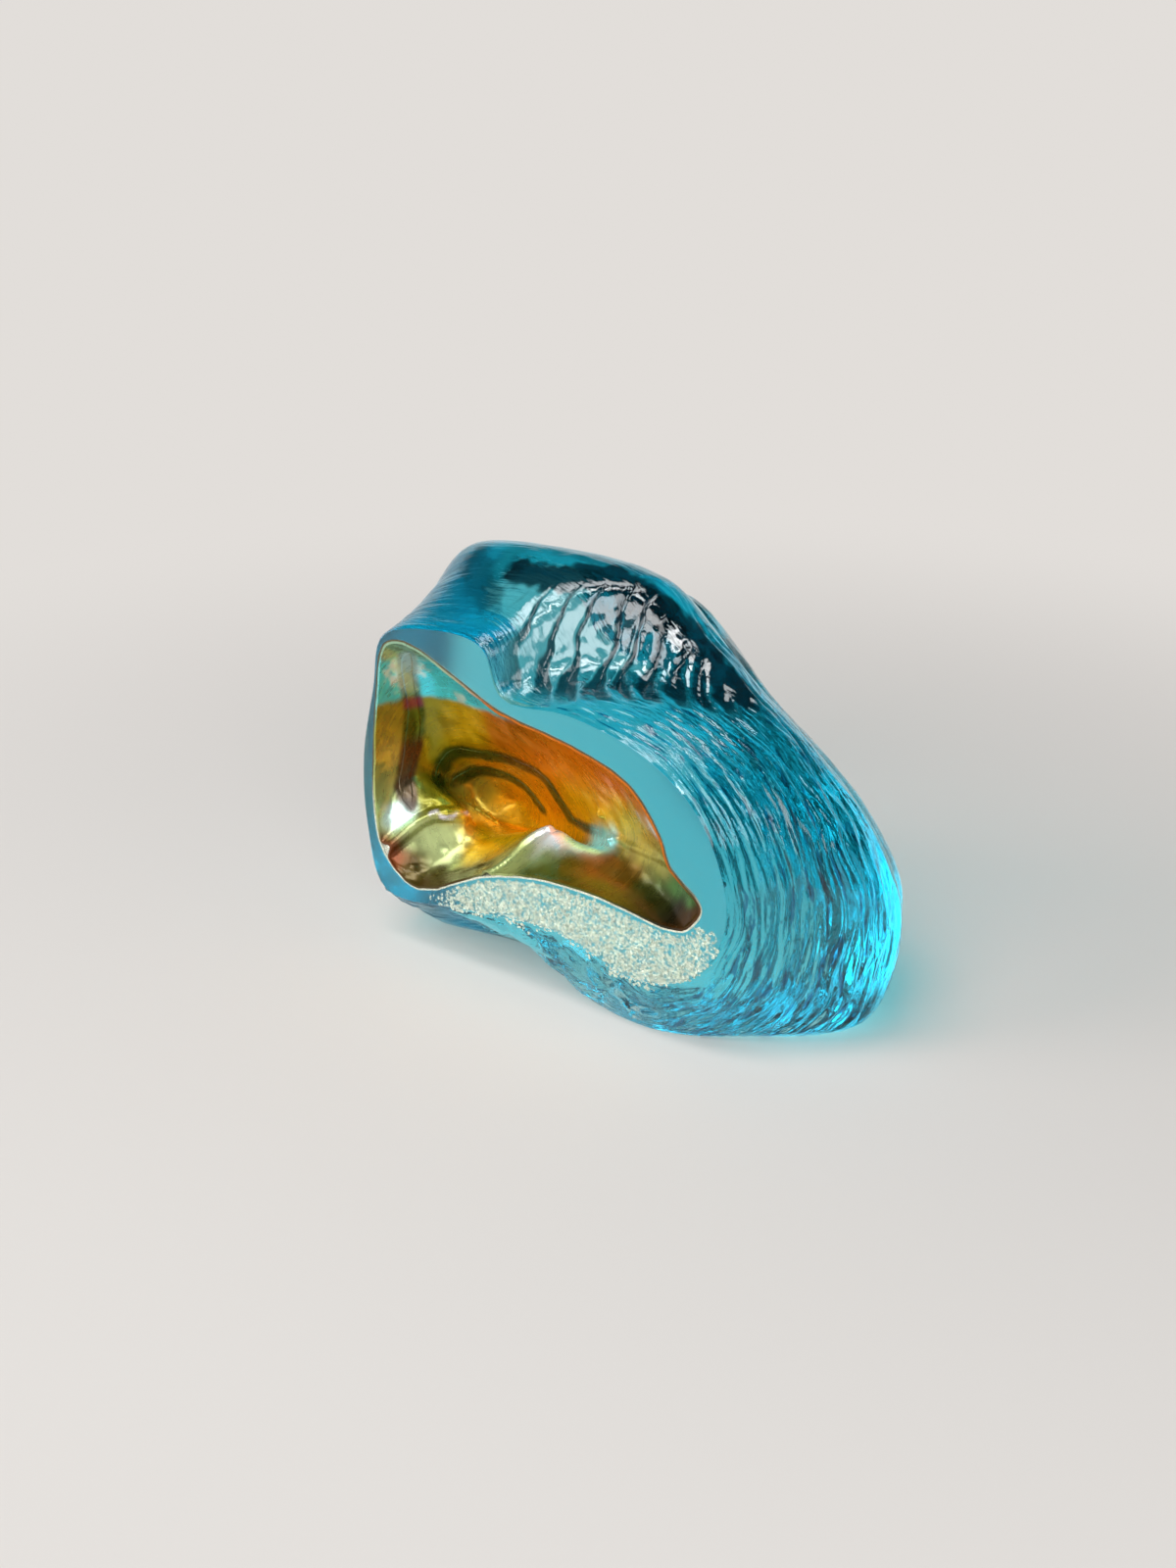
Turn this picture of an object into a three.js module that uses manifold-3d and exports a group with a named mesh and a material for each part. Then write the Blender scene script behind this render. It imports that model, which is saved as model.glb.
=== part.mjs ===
// Art glass paperweight: a lump of aqua glass with a polished cut face. A funnel opens in the face,
// lined with silver leaf and an amber lustre skin and crossed by three green glass trails.
// Millimetres, +Z up. The cut face looks along -Y and the body lies behind it.
import * as THREE from "three";
import { mergeVertices } from "three/addons/utils/BufferGeometryUtils.js";
import Module from "manifold-3d";

const manifold = await Module();
manifold.setup();

// Outlines of the body as (x, z) at a depth behind the cut face. Each runs from the lower left corner
// up the left side, over the crest, through the cove, over the shoulder, down the right side and
// along the underside.
const BODY_SECTIONS = [
  {
    depth: 0,
    outline: [
      [-70, 17.5], [-77, 37], [-77.8, 60], [-72.5, 84], [-68.5, 101], [-48, 108], [-27, 107], [-20, 93.5],
      [7, 94.2], [37, 88], [57, 73.5], [66, 47], [54, 27], [30, 22], [5, 28.7], [-38, 20],
    ],
  },
  {
    depth: 4,
    outline: [
      [-71, 14], [-77.7, 36.5], [-78.2, 60], [-73.3, 84.7], [-69, 102], [-49, 109.5], [-25, 109], [-17, 95],
      [10, 96], [40.5, 89.5], [60.5, 74.5], [70, 47], [60, 21], [34, 4], [8, 7], [-34, 17],
    ],
  },
  {
    depth: 12,
    outline: [
      [-72, 8], [-78.5, 36], [-79, 60], [-74.5, 86], [-69.5, 104], [-50, 113], [-21, 112], [-11, 99],
      [16, 98.5], [45, 92], [66, 76], [77, 47], [68, 18], [41, -3], [10, -3], [-28, 13.5],
    ],
  },
  {
    depth: 24,
    outline: [
      [-71, -1], [-78.5, 34], [-79, 60], [-76, 88], [-70.5, 109], [-54, 119.5], [-12, 121], [3, 104],
      [30, 99.5], [54, 91], [74, 75], [85, 47], [77, 12], [51, -4], [2, -5], [-32, 1],
    ],
  },
  {
    depth: 36,
    outline: [
      [-69, -4], [-78, 33], [-78.5, 60], [-76.5, 90], [-71.5, 117], [-57, 124.8], [3, 125.8], [21, 113.5],
      [41, 100.5], [61, 88], [80, 70.5], [91.5, 46], [84, 9], [62, -5], [0, -6], [-37, -6],
    ],
  },
  {
    depth: 48,
    outline: [
      [-68, -5], [-77, 33], [-77.5, 60], [-76, 92], [-71.5, 118], [-56, 122.3], [5, 123.2], [22, 111.5],
      [39, 97.5], [59, 84.5], [78, 68], [92, 43.5], [86, 9], [70, -5], [0, -7], [-37, -7],
    ],
  },
  {
    depth: 62,
    outline: [
      [-66, -5], [-74, 32], [-75, 58], [-73.5, 88], [-69, 109], [-52, 114], [-5, 114], [12, 101],
      [26, 88], [47, 74.5], [67, 58], [81, 37], [77, 7], [62, -5], [0, -7], [-37, -7],
    ],
  },
];
const BODY_STEPS_AROUND = 5;
const BODY_STEPS_DEEP = 3;

// The back closes round this point: the last outline shrinks towards it along a superellipse.
const BACK_POINT = new THREE.Vector3(5, 93, 42);
const BACK_POWER = 1.9;
const BACK_DEPTHS = [73, 82, 88.5, 92];

// Outlines of the funnel, each from the fold at the lower left up the left wall, along the ceiling,
// round the right end and back along the floor, whose last points lie in a pouch beside the fold.
const FUNNEL_SECTIONS = [
  {
    depth: 0,
    outline: [
      [-69.5, 27], [-73.5, 44], [-73, 62], [-71, 82], [-67.5, 99], [-58, 102], [-36, 95], [-20, 89],
      [8, 85.5], [31, 79], [42.5, 66], [46, 57.5], [58.5, 48], [52, 38.3], [20, 40], [-6, 38.5],
      [-28, 33], [-55, 20.8],
    ],
  },
  {
    depth: 7,
    outline: [
      [-65, 37], [-73, 47], [-73, 62], [-71, 80], [-66.5, 94.5], [-57, 98], [-37, 91.5], [-20, 86],
      [5, 81.5], [25, 75], [36, 64], [40.5, 56.5], [48.5, 49], [40, 42.5], [14, 41.5], [-10, 42.5],
      [-31, 34], [-57, 24.5],
    ],
  },
  {
    depth: 16,
    outline: [
      [-53, 44], [-70, 50], [-71.5, 62], [-69, 76], [-63, 86], [-54, 88.5], [-37, 84], [-22, 78.5],
      [-5, 73], [8, 68], [17, 62.5], [20.5, 59], [22, 54], [14, 47.5], [-2, 45.5], [-13, 47.5],
      [-30, 40], [-47, 35],
    ],
  },
  {
    depth: 26,
    outline: [
      [-61, 39.5], [-68.5, 46], [-67, 53], [-64, 58.5], [-58, 62], [-50, 63.5], [-40, 63], [-30, 60.5],
      [-21, 56.5], [-14, 52.5], [-9.5, 49.5], [-7.5, 46], [-8.5, 42], [-14, 38], [-22, 36.2], [-30, 36],
      [-40, 35], [-50, 36],
    ],
  },
  {
    depth: 36,
    outline: [
      [-62.5, 37.5], [-64, 41.5], [-63, 45], [-60.5, 47.5], [-57, 49], [-52, 49.5], [-46, 49.3], [-41, 48],
      [-37, 45.5], [-34, 43], [-33, 41], [-32.5, 39.5], [-33, 37.5], [-35, 35.5], [-39, 34], [-45, 33],
      [-51, 32.8], [-58, 34],
    ],
  },
];
const FUNNEL_END = new THREE.Vector3(-49, 41, 40);
const FUNNEL_STEPS_AROUND = 3;
const FUNNEL_STEPS_DEEP = 4;

// Layers inside the funnel, from its wall inwards.
const CLEARANCE = 0.3;
const LEAF_THICKNESS = 0.3;
const LINING_THICKNESS = 1;
const LEAF_START = CLEARANCE;
const LINING_START = LEAF_START + LEAF_THICKNESS + CLEARANCE;
const TRAIL_START = LINING_START + LINING_THICKNESS + CLEARANCE;

// Glass threads laid on the lining: width, first place round the funnel, and the row of the funnel's
// rings, counted from the cut face, at that place and at each one after it.
const TRAILS = [
  {
    name: "trail_front",
    width: 5,
    from: 1,
    rows: [5, 5.5, 6, 6.7, 7.2, 7.5, 7.7, 7.6, 7, 6.1, 5.3, 4.8, 4.4],
  },
  {
    name: "trail_middle",
    width: 3.8,
    from: 1,
    rows: [
      8.8, 10, 11, 11.4, 11.6, 11.8, 12, 12.2, 12.4, 12.6, 12.8, 13, 13.1, 13.2, 13.1, 13, 12.8, 12.6,
      12.4, 12.2, 12, 11.8, 11.8, 12.1, 12.4, 12.6, 12.8, 12.9, 13, 13, 12.6, 12, 11.3, 10.6,
    ],
  },
  {
    name: "trail_deep",
    width: 3.4,
    from: 3,
    rows: [
      13, 13.6, 14.1, 14.5, 14.8, 15, 15.2, 15.3, 15.4, 15.5, 15.5, 15.5, 15.5, 15.5, 15.5, 15.5, 15.6,
      15.6, 15.7, 15.8, 15.8, 15.9, 15.9, 15.9, 15.9, 15.9,
    ],
  },
];
const TRAIL_HEIGHT = 1.1;
const TRAIL_TIP = 0.15;

// Half-round section of a thread as shares of half its width and of its height.
const TRAIL_SECTION = [
  [-1, 0],
  [-0.6, 0.75],
  [0, 1],
  [0.6, 0.75],
  [1, 0],
  [0, 0],
];

// The funnel's solids stand out in front of the cut face by this much before they are cut to it.
const OVERSHOOT = 6;
const BLOCK = 400;

const AQUA_GLASS = { color: 0x4fb4c8, roughness: 0.08, metalness: 0 };
const SILVER_LEAF = { color: 0xd9dccb, roughness: 0.35, metalness: 1 };
const AMBER_LUSTRE = { color: 0xb87a2c, roughness: 0.2, metalness: 0.4 };
const GREEN_GLASS = { color: 0x1f3a24, roughness: 0.12, metalness: 0 };

// Points of a closed spline through an outline, the same number between each two of its points.
function outlineRing({ depth, outline }, stepsPerPoint) {
  const points = outline.map(([x, z]) => new THREE.Vector3(x, depth, z));
  const curve = new THREE.CatmullRomCurve3(points, true, "centripetal");
  const count = points.length * stepsPerPoint;
  return Array.from({ length: count }, (_, i) => curve.getPoint(i / count));
}

// Rings between the key rings, along splines that run into the depth.
function ringsThrough(keyRings, stepsPerSpan) {
  const curves = keyRings[0].map((_, i) => new THREE.CatmullRomCurve3(keyRings.map((ring) => ring[i])));
  const rows = (keyRings.length - 1) * stepsPerSpan;
  return Array.from({ length: rows + 1 }, (_, j) => curves.map((curve) => curve.getPoint(j / rows)));
}

function solidFrom(points, faces) {
  const mesh = new manifold.Mesh({
    numProp: 3,
    vertProperties: Float32Array.from(points.flatMap((p) => [p.x, p.y, p.z])),
    triVerts: Uint32Array.from(faces.flat()),
  });
  return manifold.Manifold.ofMesh(mesh);
}

// Bands of faces between rings that follow each other in one list of points.
function bandFaces(rows, around) {
  const faces = [];
  for (let near = 0; near < (rows - 1) * around; near += around) {
    const far = near + around;
    for (let i = 0; i < around; i += 1) {
      const next = (i + 1) % around;
      faces.push([near + i, near + next, far + next], [near + i, far + next, far + i]);
    }
  }
  return faces;
}

// Side of a loft: the bands between its rings and a fan to the point at its deep end.
function sideFaces(rings) {
  const around = rings[0].length;
  const faces = bandFaces(rings.length, around);
  const last = (rings.length - 1) * around;
  for (let i = 0; i < around; i += 1) {
    faces.push([last + i, last + ((i + 1) % around), last + around]);
  }
  return faces;
}

// Solid with a flat front, the rings as its side and a point at its deep end.
function loftSolid(rings, end) {
  const front = rings[0].map((p) => new THREE.Vector2(p.x, p.z));
  const faces = [...sideFaces(rings), ...THREE.ShapeUtils.triangulateShape(front, [])];
  return solidFrom([...rings.flat(), end], faces);
}

// Block for a flat cut, centred on a point.
function block(x, y, z) {
  const box = new THREE.BoxGeometry(BLOCK, BLOCK, BLOCK);
  box.deleteAttribute("uv");
  box.deleteAttribute("normal");
  box.translate(x, y, z);
  const { index, attributes } = mergeVertices(box);
  const corners = Array.from({ length: attributes.position.count }, (_, i) =>
    new THREE.Vector3().fromBufferAttribute(attributes.position, i),
  );
  return solidFrom(corners, Array.from(index.array));
}

function bodyRings() {
  const keyRings = BODY_SECTIONS.map((section) => outlineRing(section, BODY_STEPS_AROUND));
  const lastRing = keyRings.at(-1);
  const start = BODY_SECTIONS.at(-1).depth;
  for (const depth of BACK_DEPTHS) {
    const run = (depth - start) / (BACK_POINT.y - start);
    const size = (1 - run ** BACK_POWER) ** (1 / BACK_POWER);
    const middle = new THREE.Vector3(BACK_POINT.x, depth, BACK_POINT.z);
    keyRings.push(lastRing.map((p) => middle.clone().lerp(new THREE.Vector3(p.x, depth, p.z), size)));
  }
  return ringsThrough(keyRings, BODY_STEPS_DEEP);
}

// Rings of the funnel's wall. The first stands in front of the cut face, the second lies on it.
function funnelRings() {
  const keyRings = FUNNEL_SECTIONS.map((section) => outlineRing(section, FUNNEL_STEPS_AROUND));
  const inFront = keyRings[0].map((p) => new THREE.Vector3(p.x, -OVERSHOOT, p.z));
  return [inFront, ...ringsThrough(keyRings, FUNNEL_STEPS_DEEP)];
}

// The funnel's rings and end point, moved off its wall into the hollow.
function insetFunnel(distance) {
  const wall = funnelRings();
  const around = wall[0].length;
  const points = [...wall.flat(), FUNNEL_END];
  const geometry = new THREE.BufferGeometry().setFromPoints(points);
  geometry.setIndex(sideFaces(wall).flat());
  geometry.computeVertexNormals();
  const normals = geometry.getAttribute("normal");
  const moved = points.map((point, i) => {
    const outward = new THREE.Vector3().fromBufferAttribute(normals, i);
    return point.clone().addScaledVector(outward, -distance);
  });
  return { rings: wall.map((_, j) => moved.slice(j * around, (j + 1) * around)), end: moved.at(-1) };
}

function funnelSolid(distance) {
  const { rings, end } = insetFunnel(distance);
  return loftSolid(rings, end);
}

// Layer on the funnel's wall, cut flush with the face.
function skin(start, thickness) {
  const layer = funnelSolid(start).subtract(funnelSolid(start + thickness));
  return layer.subtract(block(0, -BLOCK / 2, 0));
}

function meshFrom(name, solid, look) {
  const { vertProperties, triVerts } = solid.getMesh();
  const geometry = new THREE.BufferGeometry();
  geometry.setAttribute("position", new THREE.BufferAttribute(vertProperties, 3));
  geometry.setIndex(Array.from(triVerts));
  geometry.computeVertexNormals();
  const mesh = new THREE.Mesh(geometry, new THREE.MeshStandardMaterial(look));
  mesh.name = name;
  return mesh;
}

function aquaCasing() {
  const lump = loftSolid(bodyRings(), BACK_POINT);
  const ground = lump.subtract(block(0, 0, -BLOCK / 2));
  return meshFrom("aqua_casing", ground.subtract(funnelSolid(0)), AQUA_GLASS);
}

function silverLeaf() {
  return meshFrom("silver_leaf", skin(LEAF_START, LEAF_THICKNESS), SILVER_LEAF);
}

function lustreLining() {
  return meshFrom("lustre_lining", skin(LINING_START, LINING_THICKNESS), AMBER_LUSTRE);
}

// Rings of the inset funnel from the cut face to the point where it ends.
function ringsToEnd(distance) {
  const { rings, end } = insetFunnel(distance);
  return [...rings.slice(1), rings[0].map(() => end)];
}

// Thread on the lining that thins out at both of its ends.
function trail({ name, width, from, rows }) {
  const foot = ringsToEnd(TRAIL_START);
  const top = ringsToEnd(TRAIL_START + TRAIL_HEIGHT);
  const at = (rings, i, place) => {
    const j = Math.floor(place);
    return rings[j][i].clone().lerp(rings[j + 1][i], place - j);
  };
  const sections = [];
  for (const [k, row] of rows.entries()) {
    const i = from + k;
    const size = Math.max(TRAIL_TIP, Math.min(1, k, rows.length - 1 - k));
    const rowLength = at(foot, i, row + 0.5).distanceTo(at(foot, i, row - 0.5));
    const halfWidth = (size * width) / 2 / rowLength;
    const section = TRAIL_SECTION.map(([side, height]) => {
      const place = row + side * halfWidth;
      return at(foot, i, place).lerp(at(top, i, place), size * height);
    });
    sections.push(section);
  }
  const around = TRAIL_SECTION.length;
  const faces = bandFaces(sections.length, around);
  const last = (sections.length - 1) * around;
  for (let k = 1; k + 1 < around; k += 1) {
    faces.push([0, k + 1, k], [last, last + k, last + k + 1]);
  }
  return meshFrom(name, solidFrom(sections.flat(), faces), GREEN_GLASS);
}

const group = new THREE.Group();
group.name = "art_glass_paperweight";
group.add(aquaCasing(), silverLeaf(), lustreLining(), ...TRAILS.map(trail));

// The origin is the middle of the underside of the whole piece's box.
const middle = new THREE.Box3().setFromObject(group).getCenter(new THREE.Vector3());
group.position.set(-middle.x, -middle.y, 0);
export default group;
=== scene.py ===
import math
import random

import bpy
import numpy as np
from mathutils import Euler, Matrix, Vector, noise
from mathutils.bvhtree import BVHTree

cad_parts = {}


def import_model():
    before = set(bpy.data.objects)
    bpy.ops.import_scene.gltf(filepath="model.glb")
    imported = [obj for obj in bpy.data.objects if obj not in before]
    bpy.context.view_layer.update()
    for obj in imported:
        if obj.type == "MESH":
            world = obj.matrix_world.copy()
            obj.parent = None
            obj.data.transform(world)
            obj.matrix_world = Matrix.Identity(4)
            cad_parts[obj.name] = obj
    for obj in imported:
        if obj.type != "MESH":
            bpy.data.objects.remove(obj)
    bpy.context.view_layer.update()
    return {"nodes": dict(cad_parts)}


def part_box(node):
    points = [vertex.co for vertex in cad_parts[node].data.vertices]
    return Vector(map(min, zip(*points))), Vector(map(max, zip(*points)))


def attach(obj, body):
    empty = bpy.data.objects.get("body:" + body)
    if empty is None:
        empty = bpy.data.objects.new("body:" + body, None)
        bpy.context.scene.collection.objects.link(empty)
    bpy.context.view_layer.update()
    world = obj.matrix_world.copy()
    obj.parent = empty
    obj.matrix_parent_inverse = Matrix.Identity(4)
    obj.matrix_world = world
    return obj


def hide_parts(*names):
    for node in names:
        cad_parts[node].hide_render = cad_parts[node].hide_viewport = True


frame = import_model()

MM = 0.001

# First draw of the noise, so that every run is the same.
NOISE_SEED = 1
noise.seed_set(NOISE_SEED)

# Plane of the cut face, in metres. Other lengths are in millimetres, except in the studio.
FACE_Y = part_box("aqua_casing")[0].y

# Vertices closer than this are one. A face lies on the cut face where its normal points forward by this
# much and its middle is this close to the plane. The outside of the lining, and the funnel's wall in the
# casing, are the faces that are this close to the leaf.
WELD = 0.002
CUT_NORMAL = -0.99
CUT_GAP = 0.01
LINING_OUTSIDE = 0.9
FUNNEL_WALL = 0.6

# Sizes of the mesh cells and rounds of smoothing.
HULL_CELL = 1.2
SKIN_CELL = 0.7
LEAF_CELL = 0.8
WALL_CELL = 1.4
HULL_ROUNDS = 14
SKIN_ROUNDS = 16
LEAF_ROUNDS = 2
TRAIL_ROUNDS = 3

# Shares of a hull cell: vertices this close to the flat cuts stay there, and rings are read no closer.
CELL_KEPT = 0.55
CELL_READ = 0.6

# Layers measured outwards from the inside of the lining.
SKIN_GROWTH = 0.9
LINING_THICKNESS = 0.72
LEAF_START = 0.68
LEAF_THICKNESS = 0.62
LEAF_RECESS = 0.02
WALL_START = 1.2

# The funnel's layers stand out in front of the face by this much until they are cut to it.
OVERSHOOT = 4.0

# Grid of the casing: its axis as (x, z) in front and at the back, the depth where the back starts to
# close, and the spans of its columns as (first angle, last angle, step) in degrees.
AXIS_FRONT = Vector((-16.8, 55.0))
AXIS_BACK = Vector((-1.8, 42.0))
BACK_START = 62.0
BACK_DEPTH = 92.9
ROWS_PER_MARK = 4.6
BACK_ROWS = 40
BEVEL = 0.7
COLUMN_SPANS = [(-62, 68, 1.15), (68, 112, 0.3), (112, 298, 2.2)]

# In the relief and the colours, a fade is a pair of values: nothing at the first, all at the second. A
# wave is a pair of its height and its size.

# The relief fades out towards the bevel and the foot. The body's broad wave lies under all of it.
RELIEF_DEPTHS = (0.5, 1.6)
RELIEF_LEVELS = (1.5, 4.0)
BODY_WAVE = (0.3, 22.0)

# Chill marks run round the body: their middle as (x, z), the radius where they keep their length, the
# distance between them at the cut face, its growth for each millimetre down to a depth, their height as
# a share of that distance, and the wave of their course.
MARKS_MIDDLE = Vector((-4.0, 47.0))
MARKS_RADIUS = 45.0
MARK_SPACING = 0.95
MARK_GROWTH = 0.032
MARK_GROWTH_DEPTH = 40.0
MARK_HEIGHT = 0.46
MARK_WAVE = (0.8, 14.0)

# Fine and broad marks: length along the grain, number across it and the layer of noise, then the share
# of each in the height and how far they sink.
FINE_MARKS = (8.0, 1.1, 0.0)
BROAD_MARKS = (14.0, 0.6, 7.0)
FINE_SHARE = 0.8
BROAD_SHARE = 0.9
MARK_SINK = 0.4

# The marks grow towards the right from a share on the left, and are less by a share on top of the crest
# and at the back. The navy strokes along them are painted shade, with a share on the left and a depth of
# their own.
MARKS_RIGHT = (-34.0, -4.0)
MARKS_ON_LEFT = 0.3
CREST_LEVELS = (110.0, 120.0)
CREST_LEAN = (0.3, 0.7)
CREST_LESS = 0.9
BACK_DEPTHS = (34.0, 50.0)
BACK_LESS = 0.65
NAVY_ON_LEFT = 0.2
NAVY_DEPTHS = (52.0, 34.0)

# Ends of the cove's floor seen from above, as (x, y), its middle across, and its fades: before the start,
# past the end, to both sides, in height and where the surface turns to the back.
COVE_START = Vector((-26.0, -41.0))
COVE_END = Vector((34.0, -11.0))
COVE_MIDDLE = -2.0
COVE_BEFORE = (-6.0, 6.0)
COVE_PAST = (14.0, -2.0)
COVE_SIDES = (15.0, 8.0)
COVE_LEVELS = (92.0, 98.0)
COVE_LEAN = (0.2, -0.1)

# Scales of the cove: width and length, how far they bow, the wave of the bow, how uneven their widths
# are, over what length and in which layer of noise, and the dimples on them.
COVE_RIPPLE = 8.0
COVE_LENGTH = 14.0
COVE_BOW = 0.035
COVE_WAVE = (2.0, 9.0)
COVE_UNEVEN = 0.35
COVE_UNEVEN_SIZE = 9.0
COVE_LAYER = 3.5
COVE_DIMPLES = (0.2, 3.2)

# Grooves between the scales: half width at the back and in front, the fade from one to the other, the
# wave of their edges, the share of the half width that is all dark, the slope of their sides, and how
# dark the scales themselves are. This dark is painted into the glass as a reflection of dark surroundings.
COVE_GROOVES = (1.0, 4.3)
COVE_WIDENING = (-9.0, 5.0)
COVE_RAGGED = (0.5, 2.0)
COVE_FULL = 0.55
COVE_SLOPE = 0.42
COVE_PAINTED_SHADE = 0.2

# Painted dark reflections under the crest, as colour of the glass: how dark, half width and the points
# that each streak runs through, then the level below which there is none, the wave of the edges and the
# share of the half width that is all dark.
PAINTED_DARK_STREAKS = [
    (
        1.0,
        6.5,
        [
            (-40, -22, 123), (-28.4, -21, 123), (-10.6, -14, 125), (3, -12, 119), (15, -9.5, 112),
            (28, -11.5, 103.5), (37, -11, 99),
        ],
    ),
    (0.4, 7.0, [(-62, -18, 122), (-52, -27, 118), (-44, -32, 115)]),
]
DARK_LEVEL = 90.0
DARK_WAVE = (2.5, 3.0)
DARK_FULL = 0.5

# Glass takes a root of its surface colour, so how dark it is painted gets raised by this power.
DARK_POWER = 3

# Broken undercut: its fades in height, in depth, to the right and where the surface turns up, the size of
# its blocks, how far apart the noise for their tilts is read, the height of a tilt, the width of the
# cracks as a share of a block, their depth, and how far the blocks stand out.
UNDERCUT_LEVELS = (30.0, 22.0)
UNDERCUT_DEPTHS = (34.0, 22.0)
UNDERCUT_RIGHT = (40.0, 22.0)
UNDERCUT_LEAN = (0.1, -0.15)
UNDERCUT_BLOCK = 12.0
BLOCK_SPREAD = 5.0
BLOCK_TILT = 3.4
CRACK_WIDTH = 0.15
CRACK_DEPTH = 0.6
BLOCK_RISE = 0.2

# Folds of the lining: height, half width and the points that each runs through, then the share of the
# half width that has all the height, and the waves between the folds.
FOLDS = [
    (
        2.6,
        3.2,
        [
            (-76.5, -46.5, 30), (-73.6, -44.5, 33.3), (-70.9, -41.4, 36.6), (-68, -39, 39.9),
            (-64.4, -36.9, 42.3), (-59.4, -33.6, 43.2), (-56, -28.7, 42.4), (-55, -24, 40.5),
        ],
    ),
    (
        1.3,
        2.4,
        [
            (-33, -47, 34.9), (-30.2, -42, 38.6), (-27.5, -36.2, 43.6), (-24.3, -33.4, 47),
            (-21, -31, 48.6),
        ],
    ),
    (
        0.6,
        1.6,
        [
            (-66.6, -43.5, 26.2), (-59.4, -41.4, 26.1), (-46.8, -41.9, 31), (-37.7, -40, 36.1),
            (-31.1, -36.6, 41.5),
        ],
    ),
    (
        0.9,
        1.8,
        [
            (-1.7, -27.1, 48.6), (4, -29, 51.2), (10.1, -31.4, 51.6), (19.7, -34.3, 52.3),
            (27.6, -36.4, 52.9), (40, -42, 52),
        ],
    ),
    (0.5, 1.3, [(-4.7, -27, 55.8), (-1, -27.2, 52.4), (4, -28.6, 51)]),
]
FOLD_FULL = 0.2
LINING_WAVE = (0.25, 5.5)
LINING_RIPPLE = (0.05, 2.4)

# Blisters on the back wall of the funnel: place, radius and height, then the share of the radius that has
# all the height.
BLISTERS = [
    ((-4.7, -26.9, 55.8), 2.2, 1.3),
    ((0.5, -27.9, 49.2), 1.9, 1.2),
]
BLISTER_FULL = 0.4

# Flakes of leaf behind the lower face: the first draw, their places along x and z, the distance between
# them, the depth behind the face, the gap under the lip with its ragged waves as (height, size, layer of
# noise), and the gap over the edge.
FLAKE_SEED = 7
FLAKE_SPAN = (-58.0, 57.0)
FLAKE_LEVELS = (16.0, 42.0)
FLAKE_SPACING = 0.66
FLAKE_DEPTH = (0.4, 1.1)
FLAKE_GAP = 1.5
FLAKE_RAGGED = [(0.8, 2.2, 0.0), (0.5, 0.7, 5.0)]
FLAKE_EDGE = 0.6

# The flakes thin out to a share over the left end, twice as fast over the right end, and lie in clumps.
FLAKE_ENDS = 22.0
FLAKE_THIN = 0.25
FLAKE_RIGHT = 2
FLAKE_CLUMPS = (0.4, 4.0)

# A flake's corners, the reach of each from its middle, how uneven that is, its thickness, tilt and spin.
FLAKE_SIDES = 5
FLAKE_SIZE = (0.28, 0.72)
FLAKE_UNEVEN = (0.6, 1.2)
FLAKE_THICKNESS = 0.08
FLAKE_TILT = 0.2
FLAKE_SPIN = 6.28

# Trails: how finely they are divided, the distances from the lining between which their foot ends, their
# height over the lining, how far the foot sinks in, how far their colour bleeds, the share of that where
# it is full, how much of it shows, and how far away a trail is looked for.
TRAIL_NODES = ("trail_front", "trail_middle", "trail_deep")
TRAIL_LEVELS = 2
TRAIL_FOOT = (1.15, 1.6)
TRAIL_RISE = 0.22
TRAIL_SINK = 0.05
TRAIL_BLEED = 2.4
TRAIL_FULL = 0.45
TRAIL_BLEND = 0.9
TRAIL_SEARCH = 4.0

# Colours of the trails, the size of their patches, and where the front and the middle one change.
THREAD = {
    "dark_green": (0.012, 0.05, 0.006),
    "green": (0.045, 0.10, 0.008),
    "dark_plum": (0.035, 0.008, 0.010),
    "plum": (0.09, 0.035, 0.02),
    "purple": (0.16, 0.004, 0.05),
    "pale": (0.30, 0.42, 0.40),
    "brown": (0.12, 0.045, 0.008),
    "sea": (0.02, 0.09, 0.05),
}
THREAD_PATCH = 3.0
PLUM_LEVELS = (66.0, 60.0)
PURPLE_LEVEL = 76.0
PURPLE_REACH = (3.0, 1.0)
PALE_LEVELS = (77.5, 82.0)
BROWN_X = -40.0
BROWN_REACH = (14.0, 6.0)
BROWN_LEVELS = (54.0, 58.0)
BROWN_SHARE = 0.8
SEA_SPAN = (-24.0, -14.0)
# The middle trail ends in the painted mint highlight over this span.
MINT_SPAN = (-13.0, -8.0)
MINT_SHARE = 0.7

# Colours of the lustre glass. Glare, pearl, mint and green are painted highlights on it.
LUSTRE = {
    "silver": (0.08, 0.80, 0.95),
    "glare": (0.72, 1.0, 1.0),
    "pearl_highlight": (0.98, 0.92, 1.0),
    "mint_highlight": (0.45, 1.0, 1.0),
    "straw": (0.33, 0.34, 0.04),
    "cream": (0.52, 0.62, 0.26),
    "sage": (0.40, 0.38, 0.08),
    "fan": (0.44, 0.54, 0.20),
    "moss": (0.24, 0.22, 0.002),
    "gold": (0.80, 0.46, 0.002),
    "amber": (0.98, 0.45, 0.002),
    "flame": (0.78, 0.22, 0.001),
    "orange": (0.64, 0.16, 0.001),
    "copper": (0.78, 0.29, 0.002),
    "russet": (0.18, 0.085, 0.001),
    "tip": (0.17, 0.035, 0.001),
    "umber": (0.07, 0.045, 0.001),
    "olive": (0.09, 0.10, 0.002),
    "dark_olive": (0.045, 0.055, 0.001),
    "green": (0.08, 0.22, 0.05),
    "night": (0.012, 0.010, 0.001),
    "wine": (0.09, 0.032, 0.001),
}
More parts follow.
